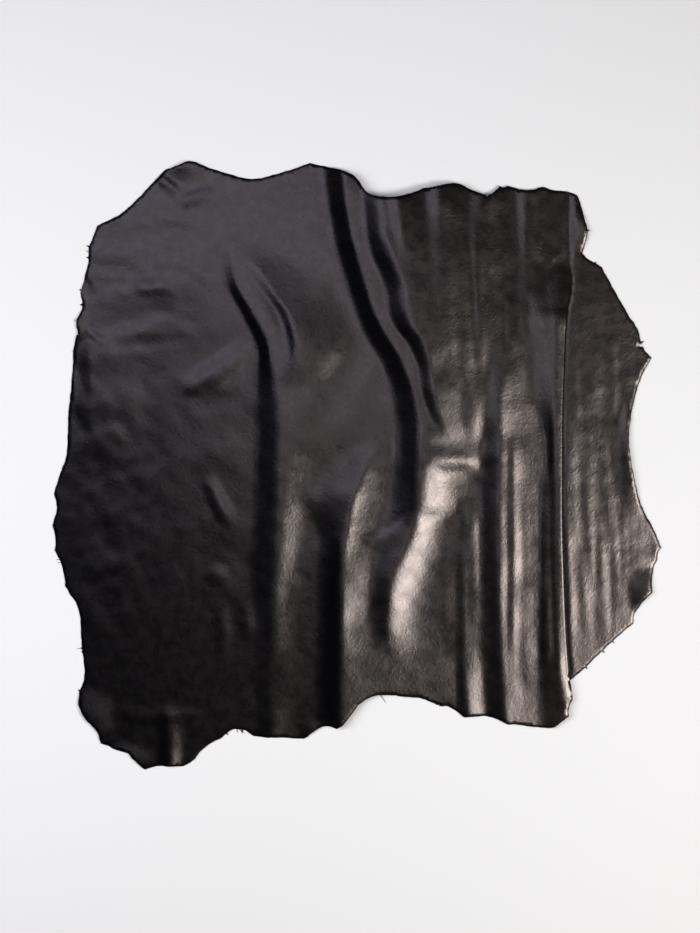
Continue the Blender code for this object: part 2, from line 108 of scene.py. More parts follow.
TAIL_EDGE: tuple[Stretch, ...] = (
    ("fold foot", ((352.3, -397), (350, -408))),
    ("rump, right corner", ((351.2, -415), (340, -424.6))),
    ("rump, right", ((326.7, -435), (305, -435), (280, -432), (265, -429.3))),
    ("rump, second", ((250.6, -429.7), (230, -419.7), (210, -416.5))),
    ("rump, third", ((178, -418), (165, -407.5), (150, -400))),
    ("tail bay", ((138, -399.5), (120, -391.5), (105, -386), (80, -384), (50, -380.5), (25, -383.5),
        (5, -395), (-6, -409), (-20, -427))),
    ("tail", ((-32, -436.8), (-47, -432.6), (-62, -436))),
    ("rump, left", ((-88, -454.5), (-120, -452), (-150, -451.5), (-172, -448.5), (-186, -439.5),
        (-203, -438), (-215, -444))),
    ("thigh", ((-223, -452), (-240, -460), (-255, -471), (-272, -490))),
    ("hind toe", ((-287, -499.5), (-310, -499.5))),
    ("hind foot", ((-330, -498.5),)),
    ("hind leg", ((-351.5, -505), (-371, -487), (-380, -477.5), (-400, -472), (-412, -465.5))),
    ("left corner", ((-424, -462.5), (-430, -442), (-450, -419.5), (-460, -399), (-460.5, -382))),
    ("belly, lower", ((-458.5, -373), (-453, -361), (-451, -340), (-454, -312), (-456.5, -290),
        (-458, -255), (-465, -229), (-476, -213))),
    ("belly, pinch", ((-483.5, -200.5), (-484, -187), (-491, -160))),
    ("belly, second", ((-501, -142), (-498.7, -133), (-500.5, -115))),
    ("belly, third", ((-504, -100), (-497, -72))),
    ("belly, upper", ((-501.5, -48), (-493.5, -20), (-482, 11), (-479, 40), (-478, 80), (-473, 130),
        (-470, 175))),
    ("left flank", ((-470.3, 188), (-467, 203))),
    ("left flank, nick", ((-464, 217), (-462, 221), (-463.5, 228))),
    ("left elbow", ((-464.3, 240), (-455, 260), (-455, 272))),
    ("left foreleg", ((-458.5, 285), (-450.5, 313), (-445, 335), (-443.7, 360), (-436, 380))),
)

# little points and nicks that the knife left: x, y of the tip, half width of the base
TAGS: tuple[Row, ...] = (
    (-448.6, 344, 1.8), (-449.2, 364, 1.8), (217, 442.6, 2.6), (397.4, 337, 1.8),
    (387, 389, 2), (476.6, 205.6, 2.2), (467.2, 199, 1.6),
    (427.6, -295.6, 1.6), (411.6, -312.6, 1.8), (383.4, -339, 1.6), (137.6, -395.8, 1.8),
    (-462.8, -373, 1.8), (-457.6, -305, 1.6), (-457.4, -310, 1.6), (-461, 216, 1.6),
    (-460.6, 291.6, 1.6), (-459.6, 266, 2.4), (-190, -444.6, 1.6), (-213, -448.6, 1.6),
)
# loose threads of skin at the edge: x and y of their points
THREADS: tuple[tuple[Point, ...], ...] = (
    ((39, -381), (42, -385.5), (45.5, -390), (48.5, -395)),
    ((-196, -437), (-192, -441.5), (-188, -444.6), (-185, -445.2)),
    ((-198, -437), (-199, -441), (-196.5, -445)),
    ((-490.5, -158), (-495, -156.4), (-499.5, -157.6)),
    ((-489.5, -162), (-493, -161), (-496.5, -163)),
    ((-463, 237), (-466.4, 238.6), (-470, 241.4)),
    ((-456, -303), (-460.5, -305.5), (-464, -304.4)),
    ((-443.6, 352), (-447, 353.4), (-449.6, 356.6)),
)

# ---------------- the pleat, top to bottom
# y, x of the roll's crest, angle turned (deg), depth, radius of the roll, of the bend below
PLEAT: tuple[Row, ...] = (
    (345, 352, 0, 0, 9, 7),
    (315, 350.5, 34, 0, 8, 6),
    (285, 348, 66, 0, 6.2, 4.4),
    (260, 345.5, 105, 0.6, 4.4, 2.6),
    (235, 343.8, 160, 3, 3.8, 2),
    (215, 342.6, 180, 6, 3.7, 2),
    (180, 341.4, 180, 10, 3.6, 2),
    (60, 338, 180, 20, 3.6, 2),
    (-80, 337.6, 180, 33, 3.8, 2),
    (-190, 340.3, 180, 43, 3.4, 2),
    (-290, 344.8, 180, 52, 2.8, 2),
    (-357, 350.6, 180, 57.5, 2.7, 2),
    (-385, 354.6, 180, 60, 2.7, 2),
    (-420, 358, 180, 60, 2.7, 2),
)
# y, height of the top layer over the pleat, distance from the crest where it starts to
# climb, where the climb ends, width of the last rise into the roll
SHELF: tuple[Row, ...] = (
    (345, 0, 190, 12, 70),
    (285, 1.6, 185, 14, 80),
    (235, 3.2, 175, 40, 84),
    (180, 3.6, 165, 60, 72),
    (100, 3.1, 142, 100, 48),
    (40, 2.9, 138, 104, 28),
    (-60, 2.8, 136, 104, 21),
    (-200, 2.8, 137, 105, 21),
    (-300, 2.8, 140, 107, 23),
    (-350, 2.8, 142, 109, 42),
    (-435, 2.8, 145, 111, 54),
)


class Flank(Enum):
    """How a fold's side leaves its crest and meets its foot: the rounded share of each."""

    FIRM = (0.16, 0.30)
    SOFT = (0.30, 0.35)
    ROUND = (0.50, 0.50)
    LONG = (0.20, 0.60)
    FADING = (0.04, 0.90)
    SWEPT = (0.08, 0.55)
    STEEP = (0.08, 0.40)
    HUNCHED = (0.40, 0.20)


class Side(Enum):
    """Surfaces of the skin, by the number of their material."""

    GRAIN = 0
    FLESH = 1
    CUT = 2


# ---------------- small mathematics
def along(rows: tuple[Row, ...], at: Array) -> Array:
    """Values of a table's columns, smooth between the rows and without overshoot.

    Args:
        rows: Rows whose first column is the place and whose others are the values.
        at: Places to read the table at; past its ends it keeps its end values.

    Returns:
        One row of values for each place.
    """
    table = np.array(sorted(rows), dtype=float)
    knots, values = table[:, 0], table[:, 1:]
    step = np.diff(knots)[:, None]
    slope = np.diff(values, axis=0) / step
    tangent = np.zeros_like(values)
    same = slope[:-1] * slope[1:] > 0
    total = np.where(same, slope[:-1] + slope[1:], 1.0)
    tangent[1:-1] = np.where(same, 2 * slope[:-1] * slope[1:] / total, 0.0)
    at = np.clip(at, knots[0], knots[-1])
    i = np.clip(np.searchsorted(knots, at, side="right") - 1, 0, len(knots) - 2)
    t = ((at - knots[i]) / (knots[i + 1] - knots[i]))[..., None]
    h = step[i]
    return ((2 * t**3 - 3 * t**2 + 1) * values[i] + (t**3 - 2 * t**2 + t) * h * tangent[i]
            + (3 * t**2 - 2 * t**3) * values[i + 1] + (t**3 - t**2) * h * tangent[i + 1])


def ramp(t: Array, start: float = 0.25, end: float = 0.25) -> Array:
    """Rise from 0 to 1, straight in the middle and rounded at both ends.

    Args:
        t: Share of the way, clipped to 0 and 1.
        start: Share of the way that is rounded at the bottom.
        end: Share of the way that is rounded at the top.

    Returns:
        Height for each share.
    """
    t = np.clip(t, 0.0, 1.0)
    steep = 1 / (1 - (start + end) / 2)
    return np.where(t < start, steep * t**2 / (2 * start),
                    np.where(t > 1 - end, 1 - steep * (1 - t)**2 / (2 * end),
                             steep * (t - start / 2)))


def bump(distance: Array) -> Array:
    """Round hill, 1 at distance 0 and 0 from distance 1 on."""
    return np.cos(np.minimum(distance, 1.0) * math.pi / 2)**2


def smooth_curve(points: list[Point], step: float) -> list[Point]:
    """Points along a smooth curve through the points given.

    Args:
        points: The curve's own points, the last one included.
        step: Longest distance between two of the points returned.

    Returns:
        Points from the first one up to, but without, the last one.
    """
    knots = [Vector((x, y, 0.0)) for x, y in points]
    around = [2 * knots[0] - knots[1]] + knots + [2 * knots[-1] - knots[-2]]
    placed: list[Point] = []
    for i in range(len(knots) - 1):
        a, b, c, d = around[i:i + 4]
        count = max(1, math.ceil((c - b).length / step))
        curve = interpolate_bezier(b, b + (c - a) / 6, c - (d - b) / 6, c, count + 1)
        placed.extend((p.x, p.y) for p in curve[:-1])
    return placed


def linear(hex_colour: str) -> tuple[float, float, float, float]:
    """Linear colour with full alpha from an sRGB hex value such as "1a1718"."""
    parts = [int(hex_colour[i:i + 2], 16) / 255 for i in (0, 2, 4)]
    red, green, blue = (p / 12.92 if p <= 0.04045 else ((p + 0.055) / 1.055)**2.4
                        for p in parts)
    return red, green, blue, 1.0


def new_object(name: str, data: bpy.types.ID) -> bpy.types.Object:
    """Puts a new object with this name and this data in the scene."""
    thing = bpy.data.objects.new(name, data)
    bpy.context.scene.collection.objects.link(thing)
    return thing


# ---------------- what lifts the skin
@dataclass(frozen=True)
class Fold:
    """Long fold that runs up and down the hide.

    Its rows hold y, x of the crest, height, width of the left side, of the right side.
    """

    rows: tuple[Row, ...]
    left: Flank = Flank.SOFT
    right: Flank = Flank.SOFT

    def height(self, x: Array, y: Array) -> Array:
        """Height at each point."""
        crest, top, left, right = along(self.rows, y).T
        on_left = 1 - ramp((crest - x) / left, *self.left.value)
        on_right = 1 - ramp((x - crest) / right, *self.right.value)
        return top * np.where(x < crest, on_left, on_right)


@dataclass(frozen=True)
class Crease:
    """Short ridge or trough along a curve.

    Its rows hold x, y, height, width of the left side, of the right side, seen along the
    way; a height below 0 makes a trough.
    """

    rows: tuple[Row, ...]
    left: Flank = Flank.SOFT
    right: Flank = Flank.SOFT
    step: float = 4.0

    def height(self, x: Array, y: Array) -> Array:
        """Height at each point."""
        table = np.array(self.rows, dtype=float)
        curve = np.array(smooth_curve([(r[0], r[1]) for r in self.rows], self.step)
                         + [self.rows[-1][:2]])
        reach = table[:, 3:].max()
        low, high = curve.min(axis=0) - reach, curve.max(axis=0) + reach
        near = (x > low[0]) & (x < high[0]) & (y > low[1]) & (y < high[1])
        out = np.zeros_like(x)
        if not near.any():
            return out
        at = np.column_stack((x[near], y[near]))
        start, way = curve[:-1], np.diff(curve, axis=0)
        length = np.hypot(*way.T)
        offset = at[:, None, :] - start[None]
        t = np.clip((offset * way).sum(axis=2) / length**2, 0.0, 1.0)
        gap = offset - t[..., None] * way
        distance = np.hypot(gap[..., 0], gap[..., 1])
        i = distance.argmin(axis=1)
        pick = np.arange(len(at))
        travelled = np.concatenate(([0.0], np.cumsum(length)))
        place = travelled[i] + t[pick, i] * length[i]
        ends = [travelled[np.hypot(*(curve - row[:2]).T).argmin()] for row in table]
        values = along(tuple((e, *row[2:]) for e, row in zip(ends, table)), place)
        top, left, right = values.T
        cross = way[i, 0] * offset[pick, i, 1] - way[i, 1] * offset[pick, i, 0]
        d = distance[pick, i]
        on_left = 1 - ramp(d / left, *self.left.value)
        on_right = 1 - ramp(d / right, *self.right.value)
        out[near] = top * np.where(cross > 0, on_left, on_right)
        return out


@dataclass(frozen=True)
class Mound:
    """Oval rise or hollow of the skin, turned by an angle in degrees."""

    x: float
    y: float
    half_x: float
    half_y: float
    top: float
    turn: float = 0.0

    def height(self, x: Array, y: Array) -> Array:
        """Height at each point."""
        angle = math.radians(self.turn)
        dx, dy = x - self.x, y - self.y
        along_x = (dx * math.cos(angle) + dy * math.sin(angle)) / self.half_x
        along_y = (dy * math.cos(angle) - dx * math.sin(angle)) / self.half_y
        return self.top * bump(np.hypot(along_x, along_y))


@dataclass(frozen=True)
class Ripple:
    """Fine unevenness of a stretch of the skin, a sum of many waves.

    Each patch that has it gives x, y, half width and half length.
    """

    seed: int
    shortest: float
    longest: float
    height_rms: float
    direction: float
    spread: float
    patches: tuple[Row, ...]
    waves: int = 28
    boost: float = 1.6             # makes up for the longer waves being the higher ones
    edge_power: float = 1.5        # keeps a patch's middle even and its edge soft
    most: float = 1.5              # where patches overlap

    def height(self, x: Array, y: Array) -> Array:
        """Height at each point."""
        draw = np.random.default_rng(self.seed)
        total = np.zeros_like(x)
        for _ in range(self.waves):
            angle = math.radians(self.direction + draw.uniform(-self.spread, self.spread))
            length = math.exp(draw.uniform(math.log(self.shortest), math.log(self.longest)))
            across = x * math.cos(angle) + y * math.sin(angle)
            size = length / self.longest
            total += size * np.sin(2 * math.pi * across / length + draw.uniform(0, 2 * math.pi))
        total *= self.height_rms * math.sqrt(2 / self.waves) * self.boost
        share = np.zeros_like(x)
        for cx, cy, half_x, half_y in self.patches:
            away = np.hypot((x - cx) / half_x, (y - cy) / half_y)
            share += bump(away ** self.edge_power)
        return total * np.minimum(share, self.most)


FOLDS: dict[str, Fold] = {
    # the deep fold from the neck, which turns towards the pleat and back again
    "middle": Fold((
        (520, -22, 13, 42, 348), (470, -19, 13.5, 42, 358), (430, -15, 14, 41, 358),
        (400, -10, 14, 40, 358), (370, -4, 14, 40, 358), (340, 4, 13.5, 39, 353),
        (310, 12, 13, 37, 344), (280, 21, 12.8, 36, 330), (250, 31, 12.8, 36, 315),
        (225, 43, 12.6, 37, 300), (200, 58, 12.6, 38, 282), (175, 73, 12.6, 38, 264),
        (155, 81, 12.4, 38, 250), (130, 91, 12.4, 40, 236), (100, 98, 12, 42, 236),
        (70, 102.5, 12.2, 42, 218), (44, 103.8, 13.2, 45, 186), (15, 103.2, 13.7, 46, 170),
        (-13, 101.2, 13.1, 46.4, 102), (-20, 101, 13, 46.4, 98), (-60, 99, 11.5, 51.2, 90),
        (-95, 96, 8.5, 66, 58), (-125, 84, 9, 59.4, 66), (-150, 72, 9.5, 48.4, 78),
        (-180, 59, 9, 37.4, 84), (-220, 53, 7.4, 35.2, 84), (-260, 51, 6, 35.2, 84),
        (-295, 53, 3.4, 35.2, 82), (-320, 60, 0.6, 37.4, 70), (-400, 80, 0, 37.4, 70)),
        Flank.STEEP, Flank.LONG),
    "middle, right ridge": Fold((
        (500, 42, 7, 40, 300), (450, 45, 10, 40, 300), (410, 49, 11.4, 40, 296),
        (380, 52, 11.6, 40, 290), (350, 61, 11.6, 40, 280), (320, 73, 11.2, 39, 270),
        (290, 83, 11, 39, 256), (260, 87, 11, 39, 248), (230, 96, 10.2, 36, 239),
        (200, 115, 8.8, 32, 221), (160, 124, 6.8, 23, 210), (120, 129, 5.8, 22, 200),
        (90, 136, 4, 20, 180), (65, 146, 2, 20, 150), (35, 158, 0, 18, 80)),
        Flank.HUNCHED, Flank.ROUND),
    # the bright strip left of it, with the black bank on its own left
    "second": Fold((
        (48, 48, 0, 60, 40), (12, 24, 3, 90, 60), (-20, 8, 6, 100, 66), (-50, -4, 8.5, 100, 76),
        (-80, -12, 8.8, 82, 76), (-105, -16, 10.5, 54, 84), (-130, -21, 12, 45, 110),
        (-160, -25, 13, 42, 140), (-230, -26, 13.5, 42, 150), (-290, -26.5, 13.5, 43, 165),
        (-335, -27, 13.5, 44, 260), (-450, -28, 12, 44, 280)), Flank.SWEPT, Flank.FADING),
    "left": Fold((
        (410, -210, 0, 30, 80), (350, -205, 2.6, 26, 110), (300, -196, 5, 22, 130),
        (250, -170, 7, 22, 140), (200, -146, 8.2, 22, 160), (150, -137, 9, 32, 170),
        (100, -130, 9.5, 44, 180), (50, -128, 9.5, 41, 175), (0, -130, 9, 41, 112),
        (-50, -131, 8.5, 42, 90), (-100, -133, 8, 41, 74), (-150, -137, 7.4, 44, 74),
        (-200, -138, 5.6, 38, 60), (-250, -140, 4.2, 35, 48), (-300, -141, 3, 34, 60),
        (-350, -142, 2, 34, 80), (-400, -142, 2.4, 26, 50), (-460, -141, 3, 26, 44)),
        Flank.FIRM, Flank.LONG),
    "left, upper right ridge": Fold((
        (370, -186, 0, 26, 90), (310, -152, 2.4, 22, 120), (280, -132, 3.8, 20, 130),
        (250, -112, 5.4, 20, 130), (220, -102, 6.4, 20, 130), (190, -97, 6.2, 21, 130),
        (160, -103, 4.2, 22, 120), (122, -118, 0, 20, 100)), Flank.FIRM, Flank.ROUND),
    "beside the pleat": Fold((
        (330, 262, 0, 34, 50), (200, 252, 1.4, 34, 70), (120, 240, 2.2, 32, 84),
        (50, 239, 4.4, 32, 96), (0, 238, 5.2, 32, 96), (-60, 237, 4.6, 33, 90),
        (-200, 237, 4.2, 34, 90), (-280, 239, 3.6, 34, 92), (-340, 243, 3.6, 33, 92),
        (-440, 246, 4.4, 30, 92)), Flank.FIRM, Flank.FADING),
    "beside the pleat, second crest": Fold((
        (60, 257.5, 0, 5, 16), (10, 257.5, 0.9, 5, 18), (-250, 257.5, 0.9, 5, 18),
        (-330, 258, 0, 5, 18))),
    "wing, beside the pleat": Fold((
        (-40, 346, 0, 12, 110), (-130, 347, 0.8, 12, 116), (-250, 350, 0.6, 12, 100),
        (-330, 355, 0.3, 12, 60), (-360, 358, 0, 12, 50)), Flank.SOFT, Flank.LONG),
    "under the roll": Fold((
        (110, 326, 0, 12, 60), (70, 326, 1.2, 11, 60), (10, 325, 2.2, 11, 60),
        (-40, 317, 3.2, 12, 60), (-200, 316, 4.2, 13, 60), (-290, 316, 4.8, 14, 60),
        (-350, 318, 2.6, 18, 60), (-430, 318, 0.8, 20, 60)), Flank.FIRM, Flank.LONG),
    "between": Fold((
        (-50, 177, 0, 14, 40), (-100, 184, 1.8, 18, 34), (-150, 178, 1.6, 12, 40),
        (-300, 178, 1.8, 12, 44), (-350, 179, 2.8, 13, 40), (-430, 184, 3.4, 16, 34)),
        Flank.FIRM),
    "neck, far right": Fold((
        (480, 210, 4.4, 30, 38), (400, 211, 2.4, 32, 38), (300, 213, 1.3, 32, 38),
        (200, 216, 0.6, 32, 36), (150, 216, 0, 28, 34))),
    "neck, third": Fold((
        (480, 284, 3.6, 26, 36), (400, 284, 2.2, 26, 40), (300, 284, 1.4, 26, 40),
        (220, 284, 0, 26, 40))),
    "neck, second": Fold((
        (480, 138, 5.6, 30, 38), (440, 139, 4.8, 30, 38), (400, 142, 2.4, 30, 36),
        (300, 146, 1.3, 30, 34), (200, 148, 0.8, 28, 32), (160, 148, 0, 28, 30))),
    "neck, first": Fold((
        (480, 66, 4, 22, 40), (440, 68, 3.2, 22, 40), (380, 76, 1.8, 20, 36), (320, 86, 0, 18, 32))),
    "above the pleat": Fold((
        (460, 360, 1.2, 14, 18), (380, 360, 1, 12, 18), (330, 358, 0, 12, 18))),
    "hind leg": Fold((
        (-390, -312, 0, 18, 30), (-430, -312, 2.6, 18, 30), (-510, -312, 5, 18, 28)),
        Flank.FIRM),
    "left side": Fold((
        (235, -438, 0, 26, 90), (180, -436, 3, 32, 110), (100, -434, 3.4, 36, 110),
        (40, -436, 2.6, 38, 100), (-20, -440, 0, 40, 90))),
}

CREASES: dict[str, Crease] = {
    # upper brim of the bright hollow right of the deep fold
    "brim": Crease((
        (106, 20, 0, 20, 26), (122, 12, 0.9, 24, 30), (150, 8, 1.4, 26, 36), (178, 2, 1.6, 24, 36),
        (198, -11, 1.2, 20, 30), (204, -34, 0, 18, 26)), Flank.FIRM),
    "saddle": Crease((
        (8, -132, 0, 12, 20), (24, -124, 1.6, 14, 26), (58, -115, 2, 16, 30), (84, -92, 1, 14, 26),
        (96, -72, 0, 12, 20)), Flank.SOFT, Flank.FIRM),
    "dent, bank": Crease((
        (-296, 118, 0, 30, 16), (-268, 128, 2.6, 34, 17), (-244, 142, 3.4, 36, 18),
        (-220, 160, 3.2, 36, 20), (-196, 184, 2, 32, 22), (-178, 210, 0, 28, 20)),
        Flank.SOFT, Flank.FIRM),
    "scar by the pleat": Crease((
        (306, 312, 0, 5, 8), (316, 332, 0.9, 5, 9), (326, 345, 1.1, 5, 9), (344, 358, 0, 5, 8)),
        Flank.FIRM, Flank.FIRM),
    "thigh": Crease((
        (-252, -14, 0, 20, 20), (-240, -40, 2, 22, 16), (-226, -72, 2, 22, 16),
        (-206, -112, 0, 20, 16))),
    "rump": Crease((
        (-420, -412, 0, 22, 14), (-370, -417, 1.6, 24, 14), (-300, -418, 1.6, 24, 14),
        (-236, -416, 0, 22, 14)), Flank.SOFT, Flank.FIRM),
    "neck, left pucker": Crease((
        (-300, 426, 0, 16, 16), (-280, 438, 1.6, 18, 16), (-255, 448, 1.6, 18, 16),
        (-232, 462, 0, 16, 14))),
    "shoulder pucker": Crease((
        (-336, 470, 0, 14, 16), (-322, 472, 2.2, 14, 18), (-306, 460, 1.6, 14, 18),
        (-292, 446, 0, 12, 16))),
    "left foreleg": Crease((
        (-452, 222, 0, 10, 12), (-440, 219, 1.2, 10, 12), (-424, 208, 1, 10, 12),
        (-404, 200, 0, 10, 12))),
    "wing, knee": Crease((
        (356, -142, 0, 8, 10), (380, -144, 0.3, 8, 12), (440, -147, 0.45, 9, 14),
        (484, -150, 0.3, 8, 12), (502, -152, 0, 8, 10)), Flank.FIRM),
}

MOUNDS: dict[str, Mound] = {
    "dent": Mound(-232, 104, 56, 26, -1.4, 16),
    "shoulder": Mound(-300, 300, 110, 70, 3, 12),
    "below the shoulder": Mound(-345, 222, 90, 26, 1.6, 4),
    "elbow hollow": Mound(-452, 298, 16, 18, -2.4),
    "haunch, left": Mound(-232, -182, 26, 24, 1.5),
    "haunch, middle": Mound(-222, -268, 20, 50, 1.6),
    "haunch, right": Mound(-180, -262, 20, 50, 1.8),
    "lower back": Mound(0, 70, 60, 70, 1.5),
    "armpit": Mound(196, 95, 26, 66, 1.8),
    # stretches of edge that stand off the table
    "flank edge": Mound(468, 20, 48, 120, 8),
    "heel edge": Mound(486, -214, 40, 50, 5),
    "shoulder edge": Mound(384, 395, 34, 48, 5),
    "corner edge": Mound(-448, -425, 60, 66, 6),
    "hind edge": Mound(-385, -492, 60, 40, 5),
    "elbow edge": Mound(-470, 232, 34, 40, 4),
    "neck edge": Mound(-286, 508, 60, 44, 5),
    "tail edge": Mound(-66, -448, 30, 30, 4),
}

RIPPLES: dict[str, Ripple] = {
    "wing streaks": Ripple(11, 13, 36, 0.14, 3, 6, ((420, 60, 120, 260), (430, -180, 120, 170))),
    "wing mottle": Ripple(12, 12, 40, 0.11, 0, 90, ((430, -20, 110, 300),)),
    "back streaks": Ripple(13, 14, 46, 0.16, 3, 5, ((240, 260, 140, 240), (240, -200, 140, 260))),
    "shoulder wrinkles": Ripple(14, 22, 80, 0.34, 78, 30, ((-350, 330, 170, 200),)),
    "belly wrinkles": Ripple(15, 24, 90, 0.3, 60, 60, ((-420, -60, 130, 420),)),
    "all over": Ripple(16, 26, 120, 0.24, 0, 90, ((0, 0, 900, 900),)),
}


# ---------------- the pleat
class Pleat:
    """Section of the pleat at the heights y: roll, run back, bend, and on to the wing."""

    def __init__(self, y: Array) -> None:
        """Reads the section's sizes at the heights given."""
        self.x, angle, self.depth, self.roll, self.bend = along(PLEAT, y).T
        self.angle = np.radians(angle)
        both = self.roll + self.bend
        self.length = both * self.angle + self.depth
        self.drop = both * (1 - np.cos(self.angle)) + self.depth * np.sin(self.angle)
        self.advance = both * np.sin(self.angle) + self.depth * np.cos(self.angle)
        self.hidden = self.length - self.advance

    def place(self, s: Array) -> tuple[Array, Array]:
        """Offset from the roll's crest.

        Args:
            s: Length past the crest along the skin, from 0 to the section's length.

        Returns:
            Offset to the right and offset upwards.
        """
        s = np.clip(s, 0.0, self.length)
        first = self.roll * self.angle
        phi = np.minimum(s, first) / self.roll
        x = self.roll * np.sin(phi)
        z = -self.roll * (1 - np.cos(phi))
        run = np.clip(s - first, 0.0, self.depth)
        x += run * np.cos(self.angle)
        z -= run * np.sin(self.angle)
        rest = np.clip(s - first - self.depth, 0.0, None)
        phi = self.angle - rest / self.bend
        x += self.bend * (np.sin(self.angle) - np.sin(phi))
        z += self.bend * (np.cos(self.angle) - np.cos(phi))
        return x, z


@dataclass(frozen=True)
class Skin:
    """The folded shape of the sheet: where each point of the flat blank comes to lie."""

    thickness: float = 1.6
    calm_width: float = 14.0       # no fold crosses the roll, from this distance on
    rest: float = 0.6              # how gently a hollow meets the table
    float_height: float = 1.0      # mean height of the skin over the table
    wing_bare: float = 1.0         # the wing stays flat this close to the roll's crest
    wing_rise: float = 9.0         # width over which its own folds then come in

    def shelf(self, x: Array, y: Array, pleat: Pleat) -> Array:
        """Height of the top layer over the pleat, up to the crest of the roll."""
        shelf, start, end, roll_width = along(SHELF, y).T
        shelf = np.minimum(shelf, pleat.drop)
        away = np.clip(pleat.x - x, 0.0, None)
        climb = ramp((start - away) / (start - end))
        return shelf * climb + (pleat.drop - shelf) * bump(away / roll_width)

    def relief(self, x: Array, y: Array) -> Array:
        """Height of all folds, creases, mounds and ripples, never below the table."""
        parts = (*FOLDS.values(), *CREASES.values(), *MOUNDS.values(), *RIPPLES.values())
        total = sum(part.height(x, y) for part in parts) + self.float_height
        return (total + np.sqrt(total**2 + self.rest**2)) / 2

    def folded(self, u: Array, y: Array) -> Array:
        """Places of the flat blank's points after folding.

        Args:
            u: Places across the flat blank.
            y: Places along it.

        Returns:
            Rows of x, y and z, all in millimetres.
        """
        pleat = Pleat(y)
        past = u - pleat.x
        section_x, section_z = pleat.place(past)
        on_panel, on_wing = past <= 0, past >= pleat.length
        x = np.where(on_panel, u, np.where(on_wing, u - pleat.hidden, pleat.x + section_x))
        relief = self.relief(x, y)
        calm = ramp((pleat.x - x) / self.calm_width)
        away = ramp((np.abs(x - pleat.x) - self.wing_bare) / self.wing_rise)
        z = np.where(on_panel, relief * calm + self.shelf(x, y, pleat),
                     np.where(on_wing, relief * away, pleat.drop + section_z))
        return np.column_stack((x, y, z + self.thickness / 2))


